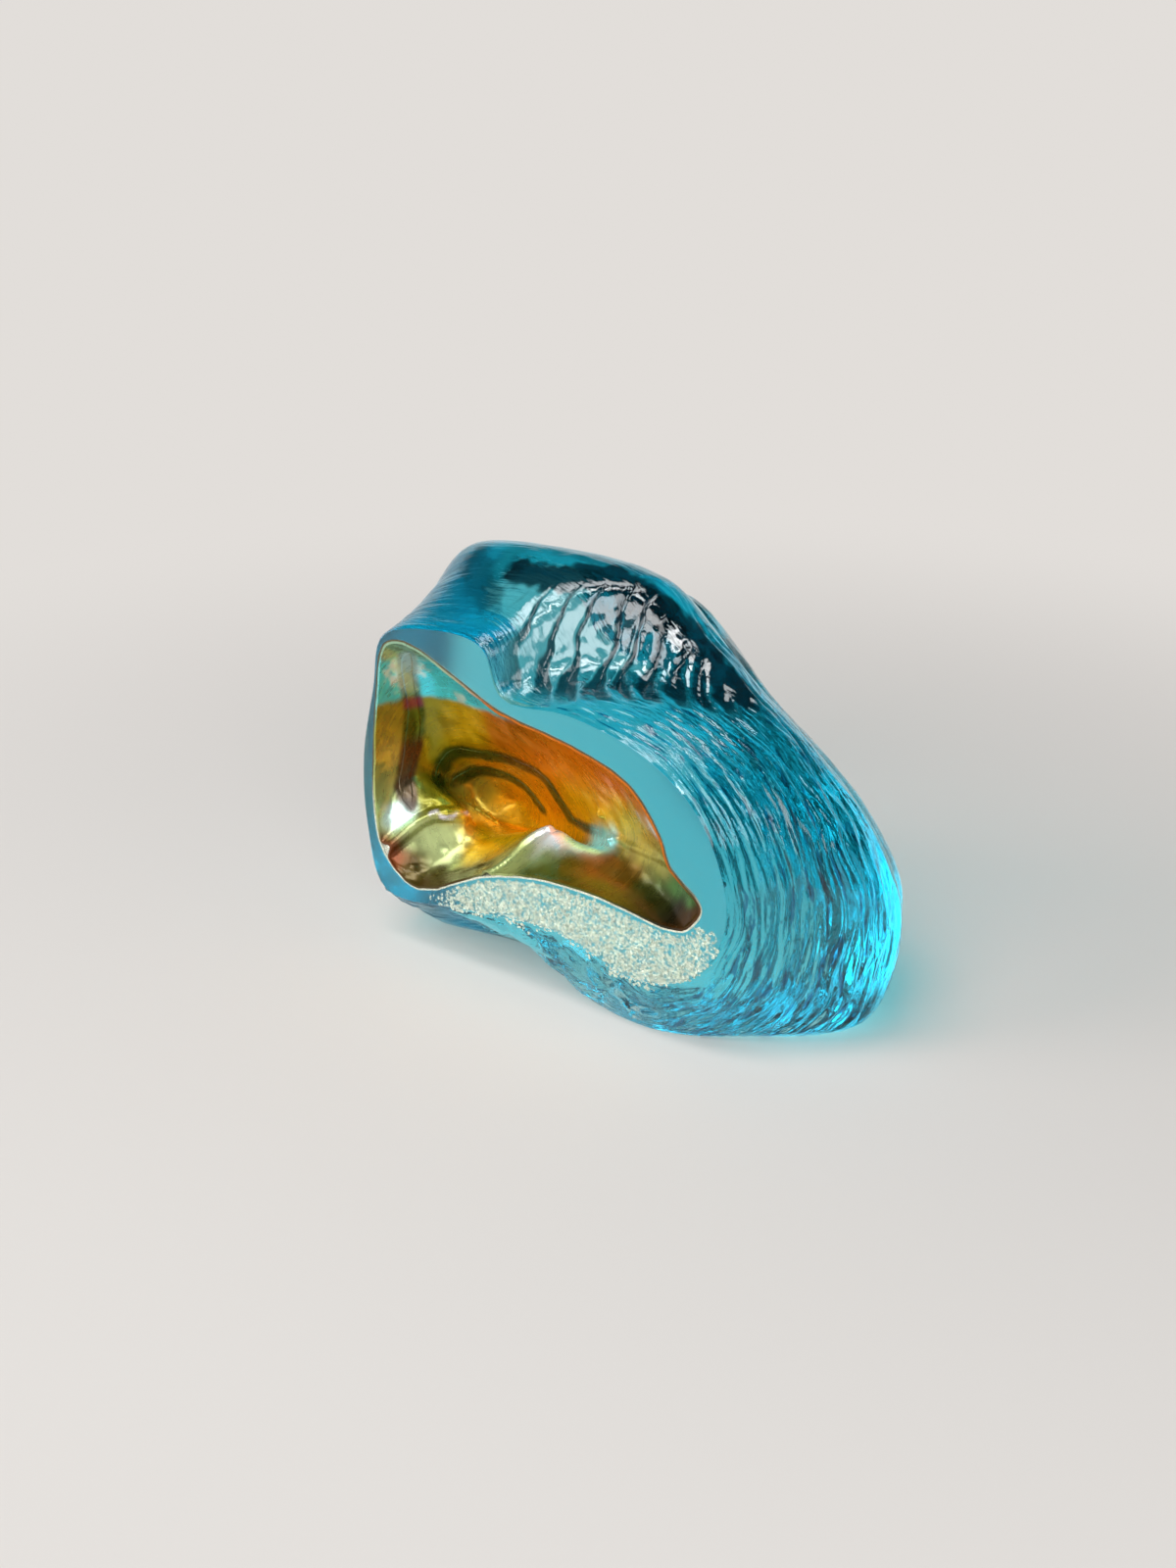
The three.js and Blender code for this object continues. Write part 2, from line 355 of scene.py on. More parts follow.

# Strokes of these colours on the lining: colour, half width and the points that each runs through, then
# how far they wander, over what length, and the least weight of a stroke. The strokes of glare, pearl,
# mint and green are painted highlights.
STROKES = [
    ("straw", 10, [(-77, -42, 70), (-78, -45, 56)]),
    ("cream", 7.5, [(-78, -44, 54), (-78, -44, 46)]),
    # Painted highlight on the left wall above the fold.
    ("glare", 2.6, [(-76, -42, 41), (-74, -40, 43)]),
    ("moss", 8, [(-74, -28, 72), (-74, -27, 64), (-74, -27, 55), (-70, -30, 48)]),
    ("gold", 7, [(-60, -25, 73), (-62, -24, 68), (-63, -22, 61)]),
    ("orange", 8, [(-46, -25, 70), (-34, -28, 72), (-18, -31, 73)]),
    ("flame", 7, [(-34, -24, 64), (-18, -28, 66), (-4, -30, 66)]),
    ("orange", 7, [(-18, -37, 81), (-2, -40, 79), (11, -38, 73), (22, -38, 66), (31, -45, 68)]),
    ("gold", 6, [(-16, -26, 58), (-6, -27, 60), (6, -30, 59), (16, -33, 59)]),
    ("copper", 6, [(-58, -17, 56), (-48, -18, 57), (-36, -20, 55)]),
    ("amber", 11, [(-57, -9, 41), (-50, -11, 37)]),
    ("straw", 5, [(-67, -15, 44), (-64, -14, 41)]),
    ("gold", 7, [(-52, -24, 38), (-41, -28, 41), (-36, -30, 43)]),
    ("gold", 4, [(-50, -34, 35), (-44, -33, 38)]),
    ("umber", 6, [(-60, -46, 25), (-50, -45, 28), (-42, -45, 31), (-36, -46, 34)]),
    ("cream", 4.5, [(-64, -39, 33), (-57, -36, 34)]),
    ("umber", 4, [(-67, -43, 29), (-66, -45, 27)]),
    ("tip", 4, [(-75, -47, 30), (-73, -46, 28)]),
    ("fan", 5.5, [(-31, -45, 38), (-24, -41, 42), (-20, -39, 44)]),
    # Painted highlights on the hump and by the end of the middle trail.
    ("pearl_highlight", 3.8, [(-19, -36, 47), (-16, -33, 48.5)]),
    ("mint_highlight", 3.6, [(-9, -31, 47.5), (-1, -29, 48.5)]),
    ("olive", 7, [(-14, -45, 42), (0, -45, 41.5), (12, -45, 41)]),
    ("russet", 4, [(2, -36, 45.5), (14, -36, 46)]),
    ("dark_olive", 7, [(16, -45, 41), (26, -43, 43)]),
    ("night", 7, [(28, -46, 40), (40, -47, 39.5)]),
    ("wine", 5, [(47, -46, 41), (50, -45, 44)]),
    # Painted highlight: a thin green line along the upper edge of the trough.
    ("green", 2.5, [(28, -41, 48.3), (44, -43, 49)]),
    ("sage", 4, [(10, -33, 53.5), (26, -37, 54)]),
    # Painted highlights: a pink glint on the back wall and a line along the crest of the front fold.
    ("pearl_highlight", 1.4, [(18, -36, 62), (27, -40, 62.7)]),
    ("pearl_highlight", 0.6, [(-63, -36.5, 43), (-58, -33, 43.5), (-55, -27, 42)]),
]
STROKE_WANDER = 2.0
STROKE_WANDER_SIZE = 5.0
STROKE_LEAST = 1e-9

# Bare leaf over the lustre: its fades in height and to the right, the wave of its edge, its share, the
# heights between which it turns to sage and the share of that, and its painted highlight patches of glare
# as middle and radius, with the wave of their edges and the share of the radius that is all bright.
LEAF_LEVELS = (76.8, 79.0)
LEAF_RIGHT = (-34.0, -46.0)
LEAF_WAVE = (0.8, 4.0)
LEAF_SHARE = 0.97
LEAF_TOP = (91.0, 95.0)
LEAF_SAGE = 0.7
GLARE_PATCHES = [((-73.5, -38, 88), 8.0), ((-60, -28.5, 79.5), 3.0)]
PATCH_WAVE = (0.5, 1.6)
PATCH_FULL = 0.45

# Middle of the rings in which the lining was pulled, the way from there to the mouth, and the radius at
# which a turn is measured.
PULL_MIDDLE = Vector((-56.0, -6.0, 40.0))
PULL_WAY = Vector((0.35, -0.9, 0.25)).normalized()
PULL_RADIUS = 12.0

# Aqua glass: colours of its surface when clear, in the strokes along its marks with painted navy shade,
# and in its dark streaks painted as reflections of dark surroundings, its refraction, and the colour and
# density of its depth.
CLEAR_GLASS = (0.94, 0.985, 1.0, 1.0)
NAVY_PAINTED_SHADE = (0.01, 0.15, 0.28, 1.0)
PAINTED_DARK_GLASS = (0.005, 0.015, 0.020, 1.0)
GLASS_IOR = 1.56
GLASS_DEPTH = (0.04, 0.865, 0.935, 1.0)
GLASS_DENSITY = 25.0

# Share of the lamps' light that each surface of the glass lets through.
LAMPS_THROUGH = (0.78, 0.82, 0.82, 1.0)

# The cut face is satin and the rest polished: the depth where it turns, and both roughnesses.
SATIN_DEPTHS = (0.12, 0.04)
GLASS_ROUGHNESS = (0.02, 0.4)

# Fine marks in the glass: their stretch along the grain, the noise they are drawn from as (scale, detail,
# roughness), the values between which a painted navy shade stroke shows, and the strength and height of
# their bump.
GRAIN_STRETCH = (0.15, 0.15, 1.2)
GRAIN_NOISE = (1.0, 3.0, 0.5)
NAVY_VALUES = (0.44, 0.37)
GRAIN_BUMP = (0.8, 0.4)

# Streaks of the pulled lustre: their stretch round the rings, their noise and its distortion, the noise
# of the mottle and its share, the values that are used, how light they make the glass and how rough.
PULL_STRETCH = (0.14, 0.14, 0.45)
PULL_NOISE = (1.0, 3.0, 0.5)
PULL_DISTORTION = 0.6
MOTTLE_NOISE = (150.0, 4.0, 0.6)
MOTTLE_SHARE = 0.6
NOISE_VALUES = (0.3, 0.7)
LUSTRE_SHADE = (0.78, 1.22)
LUSTRE_ROUGHNESS = (0.2, 0.36)

# Painted glass: how metallic its lustre is, its coat, the height of its bump, and how strong that is on
# the lining and on the trails.
LUSTRE_METALLIC = 0.6
LUSTRE_COAT = 0.2
COAT_ROUGHNESS = 0.12
LUSTRE_BUMP = 0.3
LINING_BUMP_STRENGTH = 0.15
TRAIL_BUMP_STRENGTH = 0.2

# Silver leaf: how metallic it is, the scale of its cracks, their colour and the colour between them, the
# distance where that is reached, its mottle and shade, its roughness from the cracks inwards with the
# distance where that ends, and the strength and height of its bump.
LEAF_METALLIC = 0.5
LEAF_CRACKS = 1100.0
CRACK_COLOUR = (0.56, 0.66, 0.55, 1.0)
LEAF_COLOUR = (0.98, 0.96, 0.78, 1.0)
CRACK_REACH = 0.15
LEAF_NOISE = (420.0, 3.0, 0.6)
LEAF_SHADE = (0.7, 1.1)
LEAF_ROUGHNESS = (0.6, 0.35)
LEAF_ROUGH_REACH = 0.12
LEAF_BUMP = (0.4, 0.2)

# The edge of the leaf at the lip is bright along the bottom, and higher up it is painted dull as shade,
# turning between these levels. The edge is what lies in front of these depths.
LIP_LEVELS = (42.0, 54.0)
LIP_DEPTHS = (0.3, 0.1)
LIP_PAINTED_SHADE = (0.12, 0.10, 0.05, 1.0)

# Studio: pale ground and walls, dim ceiling, the way to the backdrop and how far it reaches round, the
# height where the walls end, and how light the side walls are.
PALE = (0.76, 0.73, 0.70, 1.0)
CEILING = (0.02, 0.025, 0.03, 1.0)
BACKDROP_WAY = (-0.63, 0.777, 0.0)
BACKDROP_REACH = (-0.1, 0.6)
WALL_TOP = (0.42, 0.22)
SIDE_WALLS = 0.25

# Floor: radius and edges, roughness and gloss, the distances between which its shadow runs out into even
# ground, and how much of that even ground is seen through the glass in the shadow, as painted light that
# glows there in place of light from below.
FLOOR_RADIUS = 6.0
FLOOR_EDGES = 96
FLOOR_ROUGHNESS = 0.9
FLOOR_GLOSS = 0.1
FLOOR_FADE = (0.16, 0.5)
FLOOR_THROUGH = 0.45

# Lamps: name, place, width and height, and power. All aim at one point, with their width along one line.
LAMPS = [
    ("softbox", (-0.26, -0.87, 2.7), (1.7, 0.8), 32.0),
    ("strip", (0.18, -1.65, 2.25), (1.6, 0.2), 14.0),
    ("front_box", (0.61, -1.86, 1.0), (1.5, 0.8), 18.0),
    ("camera_side", (1.9, -1.3, 1.3), (0.8, 0.8), 7.0),
    ("front_fill", (-1.23, -1.57, 0.93), (1.4, 1.0), 18.0),
]
LAMP_AIM = Vector((0.0, 0.0, 0.1))
LAMPS_ALONG = Vector((0.89, 0.45, 0.0))

# Camera of the photograph: place, turn in degrees, lens and sensor.
CAMERA_PLACE = (0.4732, -0.5835, 0.362)
CAMERA_TURN = (68.0, 0.0, 40.9)
CAMERA_LENS = 61.2
CAMERA_SENSOR = 36.0


# Modelling

def only(piece):
    bpy.ops.object.select_all(action="DESELECT")
    piece.select_set(True)
    bpy.context.view_layer.objects.active = piece


def edit(piece, kind="VERT"):
    only(piece)
    bpy.ops.object.mode_set(mode="EDIT")
    bpy.ops.mesh.select_mode(type=kind)
    bpy.ops.mesh.select_all(action="DESELECT")


def done():
    bpy.ops.object.mode_set(mode="OBJECT")


def apply_modifier(piece, kind, **settings):
    only(piece)
    modifier = piece.modifiers.new(kind.lower(), kind)
    for name, value in settings.items():
        setattr(modifier, name, value)
    bpy.ops.object.modifier_apply(modifier=modifier.name)


def smooth_out(piece, rounds, **settings):
    apply_modifier(piece, "SMOOTH", factor=0.5, iterations=rounds, **settings)


def copy_of(source, name):
    piece = source.copy()
    piece.data = source.data.copy()
    piece.name = name
    piece.data.name = name
    piece.parent = None
    bpy.context.scene.collection.objects.link(piece)
    return piece


def piece_from(name, points, faces):
    mesh = bpy.data.meshes.new(name)
    mesh.from_pydata(points, [], faces)
    piece = bpy.data.objects.new(name, mesh)
    bpy.context.scene.collection.objects.link(piece)
    return piece


def merged_node(node, name):
    piece = copy_of(frame["nodes"][node], name)
    piece.data.materials.clear()
    edit(piece)
    bpy.ops.mesh.select_all(action="SELECT")
    bpy.ops.mesh.remove_doubles(threshold=WELD * MM)
    done()
    return piece


def surface_of(mesh):
    points = [v.co.copy() for v in mesh.vertices]
    return BVHTree.FromPolygons(points, [tuple(p.vertices) for p in mesh.polygons])


def select_faces(piece, wanted):
    edit(piece, "FACE")
    done()
    for face in piece.data.polygons:
        face.select = wanted(face)
    bpy.ops.object.mode_set(mode="EDIT")


def select_open_edges():
    bpy.ops.mesh.select_mode(type="EDGE")
    bpy.ops.mesh.select_all(action="DESELECT")
    bpy.ops.mesh.select_non_manifold(
        extend=False, use_wire=False, use_multi_face=False, use_non_contiguous=False
    )


def remesh(piece, cell):
    only(piece)
    piece.data.remesh_voxel_size = cell * MM
    piece.data.remesh_voxel_adaptivity = 0
    piece.data.use_remesh_preserve_volume = True
    bpy.ops.object.voxel_remesh()


def grow(piece, distance):
    edit(piece)
    bpy.ops.mesh.select_all(action="SELECT")
    bpy.ops.transform.shrink_fatten(value=distance * MM)
    done()


def cut_in_front(piece, y, fill):
    edit(piece)
    bpy.ops.mesh.select_all(action="SELECT")
    bpy.ops.mesh.bisect(plane_co=(0, y, 0), plane_no=(0, -1, 0), clear_outer=True, use_fill=fill)
    done()


# Share from 0 at the first value to 1 at the second, with soft ends.
def ramp(value, low, high):
    share = min(1.0, max(0.0, (value - low) / (high - low)))
    return share * share * (3 - 2 * share)


def wave(place, height, size):
    return height * noise.noise(place / size)


def depth_of(place):
    return place.y - FACE_Y / MM


def distance_to_line(place, points):
    least = math.inf
    for start, end in zip(points, points[1:]):
        start, end = Vector(start), Vector(end)
        way = end - start
        share = min(1.0, max(0.0, (place - start).dot(way) / way.length_squared))
        least = min(least, (place - start - share * way).length)
    return least


def on_cut(face):
    return face.normal.y < CUT_NORMAL and abs(face.center.y - FACE_Y) < CUT_GAP * MM


# The inside of the funnel as a smooth closed skin that stands out in front of the face.
def funnel_skin():
    skin = merged_node("lustre_lining", "funnel_skin")
    leaf = surface_of(frame["nodes"]["silver_leaf"].data)
    outside = LINING_OUTSIDE * MM
    select_faces(skin, lambda face: on_cut(face) or leaf.find_nearest(face.center)[3] < outside)
    bpy.ops.mesh.delete(type="FACE")
    select_open_edges()
    bpy.ops.mesh.extrude_region_move(TRANSFORM_OT_translate={"value": (0, -OVERSHOOT * MM, 0)})
    bpy.ops.mesh.edge_face_add()
    bpy.ops.mesh.select_all(action="SELECT")
    bpy.ops.mesh.normals_make_consistent(inside=False)
    done()
    remesh(skin, SKIN_CELL)
    smooth_out(skin, SKIN_ROUNDS)
    grow(skin, SKIN_GROWTH)
    return skin


def open_mouth(piece):
    cut_in_front(piece, FACE_Y - 0.5 * OVERSHOOT * MM, False)


# Gives an open skin its thickness outwards and cuts it flush with the face.
def wall_from(piece, thickness, recess=0.0):
    apply_modifier(piece, "SOLIDIFY", thickness=thickness * MM, offset=1.0, use_even_offset=False)
    cut_in_front(piece, FACE_Y + recess * MM, True)


# The casing without its funnel: the solid's own form, evened out between its flat cuts.
def casing_form():
    hull = merged_node("aqua_casing", "casing_form")
    leaf = surface_of(frame["nodes"]["silver_leaf"].data)
    wall = FUNNEL_WALL * MM
    select_faces(hull, lambda face: not on_cut(face) and leaf.find_nearest(face.center)[3] < wall)
    bpy.ops.mesh.delete(type="FACE")
    select_open_edges()
    bpy.ops.mesh.edge_face_add()
    done()
    remesh(hull, HULL_CELL)
    near = CELL_KEPT * HULL_CELL * MM
    free = hull.vertex_groups.new(name="free")
    free.add(
        [v.index for v in hull.data.vertices if v.co.y > FACE_Y + near and v.co.z > near], 1.0, "REPLACE"
    )
    smooth_out(hull, HULL_ROUNDS, vertex_group="free")
    return hull


def column_angles():
    angles = []
    for first, last, step in COLUMN_SPANS:
        count = round((last - first) / step)
        angles += [math.radians(first + (last - first) * i / count) for i in range(count)]
    return angles


def mark_spacing(depth):
    return MARK_SPACING + MARK_GROWTH * min(depth, MARK_GROWTH_DEPTH)


# Depths of the rings: close together where the marks are, and closing towards the back.
def row_depths():
    depths = [BEVEL]
    while depths[-1] < BACK_START - 1:
        depths.append(depths[-1] + mark_spacing(depths[-1]) / ROWS_PER_MARK)
    for i in range(BACK_ROWS):
        depths.append(BACK_START + (BACK_DEPTH - BACK_START) * math.sin(0.5 * math.pi * i / BACK_ROWS))
    return depths


# Rings round the form, from the cut face to the back, each column at its own angle.
def casing_rings(form):
    surface = surface_of(form.data)
    angles = column_angles()
    rings = []
    for depth in row_depths():
        share = max(0.0, (depth - BACK_START) / (BACK_DEPTH - BACK_START))
        axis = AXIS_FRONT.lerp(AXIS_BACK, share)
        middle = Vector((axis.x * MM, FACE_Y + max(depth, CELL_READ * HULL_CELL) * MM, axis.y * MM))
        ring = []
        for angle in angles:
            way = Vector((math.cos(angle), 0, math.sin(angle)))
            place = surface.ray_cast(middle, way)[0] or middle
            place.y = FACE_Y + depth * MM
            place.z = max(place.z, 0.0)
            ring.append(place)
        rings.append(ring)
    return rings


# The casing before its funnel is cut: bevelled edge of the cut face, rings, and a point at the back.
def casing_hull(form):
    rings = casing_rings(form)
    around = len(rings[0])
    middle = sum(rings[0], Vector()) / around
    edge = []
    for place in rings[0]:
        inwards = (middle - place).normalized()
        edge.append(Vector((place.x, FACE_Y, place.z)) + inwards * BEVEL * MM)
    rings.insert(0, edge)
    points = [place for ring in rings for place in ring]
    points.append(sum(rings[-1], Vector()) / around)
    faces = [tuple(range(around))]
    for row in range(len(rings) - 1):
        near = row * around
        far = near + around
        for i in range(around):
            after = (i + 1) % around
            faces.append((near + i, far + i, far + after, near + after))
    last = (len(rings) - 1) * around
    faces += [(last + i, len(points) - 1, last + (i + 1) % around) for i in range(around)]
    return piece_from("aqua_casing_glass", points, faces)


# Place in the grain of the chill marks: even along them, fast across them.
def grain_at(place):
    outwards = Vector((place.x, place.z)) - MARKS_MIDDLE
    if outwards.length > MARKS_RADIUS:
        outwards *= MARKS_RADIUS / outwards.length
    depth = max(0.0, depth_of(place))
    grown = min(depth, MARK_GROWTH_DEPTH)
    count = math.log(1 + MARK_GROWTH * grown / MARK_SPACING) / MARK_GROWTH
    count += max(0.0, depth - MARK_GROWTH_DEPTH) / mark_spacing(MARK_GROWTH_DEPTH)
    count += wave(place, *MARK_WAVE)
    return Vector((outwards.x, outwards.y, count))


def grain_noise(grain, length, across, layer):
    return noise.noise(Vector((grain.x / length, grain.y / length, across * grain.z + layer)))


# Height of the chill marks as a share of their full height.
def mark_profile(place):
    grain = grain_at(place)
    fine = 1 - 2 * abs(grain_noise(grain, *FINE_MARKS))
    broad = grain_noise(grain, *BROAD_MARKS)
    return FINE_SHARE * fine + BROAD_SHARE * broad - MARK_SINK


# How strong the marks are at a place: most on the right, less on the left, on the crest and at the back.
def marks_share(place, normal):
    side = MARKS_ON_LEFT + (1 - MARKS_ON_LEFT) * ramp(place.x, *MARKS_RIGHT)
    crest = ramp(place.z, *CREST_LEVELS) * ramp(normal.z, *CREST_LEAN)
    back = ramp(depth_of(place), *BACK_DEPTHS)
    return (1 - CREST_LESS * crest) * side * (1 - BACK_LESS * back)


# Share of the cove at a place, and the place along and across its floor.
def cove_share(place, normal):
    way = COVE_END - COVE_START
    along = (Vector((place.x, place.y)) - COVE_START).dot(way) / way.length
    across = (Vector((place.x, place.y)) - COVE_START).cross(way) / way.length
    share = ramp(along, *COVE_BEFORE) * ramp(along - way.length, *COVE_PAST)
    share *= ramp(abs(across - COVE_MIDDLE), *COVE_SIDES)
    share *= ramp(place.z, *COVE_LEVELS) * ramp(normal.y, *COVE_LEAN)
    return share, along, across


# Share of the groove between two scales of the cove, and its depth there.
def cove_groove(place, along, across):
    bow = along - COVE_BOW * across * across + wave(place, *COVE_WAVE)
    uneven = noise.noise(Vector((bow / COVE_UNEVEN_SIZE, across / COVE_LENGTH, COVE_LAYER)))
    turn = bow / COVE_RIPPLE + COVE_UNEVEN * uneven
    far = COVE_RIPPLE * abs(turn - round(turn)) + wave(place, *COVE_RAGGED)
    narrow, wide = COVE_GROOVES
    half = narrow + (wide - narrow) * ramp(across, *COVE_WIDENING)
    return ramp(far, half, COVE_FULL * half), COVE_SLOPE * max(0.0, half - far)


# How dark the glass is painted at a place, as reflections of dark surroundings: in the streaks under the
# crest and in the cove's grooves.
def painted_darkness(place, normal):
    if place.z < DARK_LEVEL:
        return 0.0
    cove, along, across = cove_share(place, normal)
    dark = cove * max(COVE_PAINTED_SHADE, cove_groove(place, along, across)[0])
    edge = wave(place, *DARK_WAVE)
    for strength, width, points in PAINTED_DARK_STREAKS:
        far = distance_to_line(place, points) + edge
        dark = max(dark, strength * ramp(far, width, DARK_FULL * width))
    return 1 - (1 - dark) ** DARK_POWER


# Share of the broken undercut below the cut face.
def undercut_share(place, normal):
    share = ramp(place.z, *UNDERCUT_LEVELS) * ramp(depth_of(place), *UNDERCUT_DEPTHS)
    return share * ramp(place.x, *UNDERCUT_RIGHT) * ramp(normal.z, *UNDERCUT_LEAN)


# Height of the undercut's blocks, each with a tilt of its own and cracks round it.
def block_height(place):
    spot = place / UNDERCUT_BLOCK
    far, middles = noise.voronoi(spot)
    crack = 1 - ramp(far[1] - far[0], 0.0, CRACK_WIDTH)
    tilt = noise.noise_vector(middles[0] * BLOCK_SPREAD).dot(spot - middles[0])
    return BLOCK_TILT * tilt - CRACK_DEPTH * crack + BLOCK_RISE


# Height of the casing's surface relief.
def casing_relief(place, normal):
    depth = depth_of(place)
    free = ramp(depth, *RELIEF_DEPTHS) * ramp(place.z, *RELIEF_LEVELS)
    if free <= 0:
        return 0.0
    cove, along, across = cove_share(place, normal)
    marks = (1 - cove) * marks_share(place, normal)
    height = marks * MARK_HEIGHT * mark_spacing(depth) * mark_profile(place)
    height += wave(place, *BODY_WAVE)
    if cove > 0:
        height -= cove * cove_groove(place, along, across)[1]
        height += cove * wave(place, *COVE_DIMPLES)
    under = undercut_share(place, normal)
    if under > 0:
        height += under * block_height(place)
    return free * height


def shape_casing(hull):
    mesh = hull.data
    normals = [v.normal.copy() for v in mesh.vertices]
    for vertex, normal in zip(mesh.vertices, normals):
        height = casing_relief(vertex.co / MM, normal)
        if height:
            vertex.co += normal * height * MM
            vertex.co.y = max(vertex.co.y, FACE_Y)


def open_funnel(hull, skin):
    tool = copy_of(skin, "funnel_tool")
    grow(tool, WALL_START)
    remesh(tool, WALL_CELL)
    apply_modifier(hull, "BOOLEAN", operation="DIFFERENCE", solver="MANIFOLD", object=tool)
    bpy.data.objects.remove(tool)


# Each vertex of the casing keeps its place in the grain, for the fine marks, the share of painted navy
# shade strokes along them, the shine of the cove's scales and how dark it is painted as a reflection of
# dark surroundings.
def keep_grain(hull):
    attributes = hull.data.attributes
    attributes.new("grain", "FLOAT_VECTOR", "POINT")
    for name in ("strokes", "shine", "dark"):
        attributes.new(name, "FLOAT", "POINT")
    grain = attributes["grain"].data
    strokes = attributes["strokes"].data
    shine = attributes["shine"].data
    dark = attributes["dark"].data
    for vertex in hull.data.vertices:
        i = vertex.index
        place = vertex.co / MM
        normal = vertex.normal
        cove, along, across = cove_share(place, normal)
        side = NAVY_ON_LEFT + (1 - NAVY_ON_LEFT) * ramp(place.x, *MARKS_RIGHT)
        front = ramp(depth_of(place), *NAVY_DEPTHS) * side
        grain[i].vector = grain_at(place)
        strokes[i].value = front * (1 - cove) * (1 - undercut_share(place, normal))
        shine[i].value = cove * (1 - cove_groove(place, along, across)[0])
        dark[i].value = painted_darkness(place, normal)


# Height of the lining's relief outwards: folds and blisters stand into the funnel.
def lining_relief(place):
    height = wave(place, *LINING_WAVE) + wave(place, *LINING_RIPPLE)
    for rise, width, points in FOLDS:
        height -= rise * ramp(distance_to_line(place, points), width, FOLD_FULL * width)
    for middle, radius, rise in BLISTERS:
        height -= rise * ramp((place - Vector(middle)).length, radius, BLISTER_FULL * radius)
    return height


def lustre_lining(skin):
    lining = copy_of(skin, "lustre_lining_skin")
    mesh = lining.data
    normals = [v.normal.copy() for v in mesh.vertices]
    for vertex, normal in zip(mesh.vertices, normals):
        vertex.co += normal * lining_relief(vertex.co / MM) * MM
    open_mouth(lining)
    wall_from(lining, LINING_THICKNESS)
    return lining


# The leaf lies behind the lining, and bridges its tightest folds.
def silver_leaf(skin, casing):
    leaf = copy_of(skin, "silver_leaf_skin")
    grow(leaf, LEAF_START)
    remesh(leaf, LEAF_CELL)
    smooth_out(leaf, LEAF_ROUNDS)
    open_mouth(leaf)
    wall_from(leaf, LEAF_THICKNESS, LEAF_RECESS)
    only(leaf_flakes(casing))
    leaf.select_set(True)
    bpy.context.view_layer.objects.active = leaf
    bpy.ops.object.join()
    return leaf


# Gap between the lip and the ragged upper edge of the flakes.
def flake_gap(x):
    gap = FLAKE_GAP
    for height, size, layer in FLAKE_RAGGED:
        gap += height * noise.noise(Vector((x / size, layer, 0)))
    return gap


# How many of the flakes stay at a place: fewer at the ends, and in clumps.
def flake_share(x, place):
    inwards = min(x - FLAKE_SPAN[0], FLAKE_RIGHT * (FLAKE_SPAN[1] - x))
    full = FLAKE_THIN + (1 - FLAKE_THIN) * ramp(inwards, 0.0, FLAKE_ENDS)
    height, size = FLAKE_CLUMPS
    return full + wave(place, height, size * MM)


# Places for the flakes, in the glass between the lip and the edge of the cut face.
def flake_places(casing, draw):
    glass = surface_of(casing.data)
    across = round((FLAKE_SPAN[1] - FLAKE_SPAN[0]) / FLAKE_SPACING)
    upwards = round((FLAKE_LEVELS[1] - FLAKE_LEVELS[0]) / FLAKE_SPACING)
    places = []
    for i in range(across * upwards):
        x = FLAKE_SPAN[0] + (i % across + draw.random()) * FLAKE_SPACING
        z = FLAKE_LEVELS[0] + (i // across + draw.random()) * FLAKE_SPACING
        place = Vector((x * MM, FACE_Y + draw.uniform(*FLAKE_DEPTH) * MM, z * MM))
        up = glass.ray_cast(place, Vector((0, 0, 1)))
        down = glass.ray_cast(place, Vector((0, 0, -1)))
        inside = up[0] and down[0] and up[1].z > 0 > down[1].z
        stays = draw.random() < flake_share(x, place)
        if inside and stays and up[3] > flake_gap(x) * MM and down[3] > FLAKE_EDGE * MM:
            places.append(place)
    return places


# A flake's turn and its corners as (x, z), uneven round its middle.
def flake_outline(draw):
    tilt = draw.uniform(-FLAKE_TILT, FLAKE_TILT)
    spin = draw.uniform(0, FLAKE_SPIN)
    lean = draw.uniform(-FLAKE_TILT, FLAKE_TILT)
    size = draw.uniform(*FLAKE_SIZE)
    corners = []
    for k in range(FLAKE_SIDES):
        angle = 2 * math.pi * k / FLAKE_SIDES
        reach = draw.uniform(*FLAKE_UNEVEN) * size
        corners.append((reach * math.cos(angle), reach * math.sin(angle)))
    return Euler((tilt, spin, lean)), corners


# Flakes of leaf caught in the glass behind the lower part of the cut face.
def leaf_flakes(casing):
    draw = random.Random(FLAKE_SEED)
    points = []
    faces = []
    for place in flake_places(casing, draw):
        turn, corners = flake_outline(draw)
        near = range(len(points), len(points) + FLAKE_SIDES)
        far = range(near.stop, near.stop + FLAKE_SIDES)
        for side in (-0.5, 0.5):
            for x, z in corners:
                corner = Vector((x, side * FLAKE_THICKNESS, z))
                corner.rotate(turn)
                points.append(place + corner * MM)
        faces += [tuple(near), tuple(reversed(far))]
        for k in range(FLAKE_SIDES):
            after = (k + 1) % FLAKE_SIDES
            faces.append((near[k], far[k], far[after], near[after]))
    return piece_from("leaf_flakes", points, faces)


# A colour on the way to another one.
def towards(colour, other, share):
    return Vector(colour).lerp(Vector(other), share)


# Colour of a trail at a place. The front one turns from pale over a purple spot and green to plum, and
# the middle one from green over brown and sea green to a painted mint highlight at its end.
def thread_at(node, place):
    patch = 0.5 + 0.5 * noise.noise(place / THREAD_PATCH)
    colour = towards(THREAD["dark_green"], THREAD["green"], patch)
    if node == "trail_front":
        plum = towards(THREAD["dark_plum"], THREAD["plum"], patch)
        colour = towards(colour, plum, ramp(place.z, *PLUM_LEVELS))
        colour = towards(colour, THREAD["purple"], ramp(abs(place.z - PURPLE_LEVEL), *PURPLE_REACH))
        colour = towards(colour, THREAD["pale"], ramp(place.z, *PALE_LEVELS))
    if node == "trail_middle":
        brown = ramp(abs(place.x - BROWN_X), *BROWN_REACH) * ramp(place.z, *BROWN_LEVELS)
        colour = towards(colour, THREAD["brown"], BROWN_SHARE * brown)
        colour = towards(colour, THREAD["sea"], ramp(place.x, *SEA_SPAN))
        colour = towards(colour, LUSTRE["mint_highlight"], MINT_SHARE * ramp(place.x, *MINT_SPAN))
    return colour


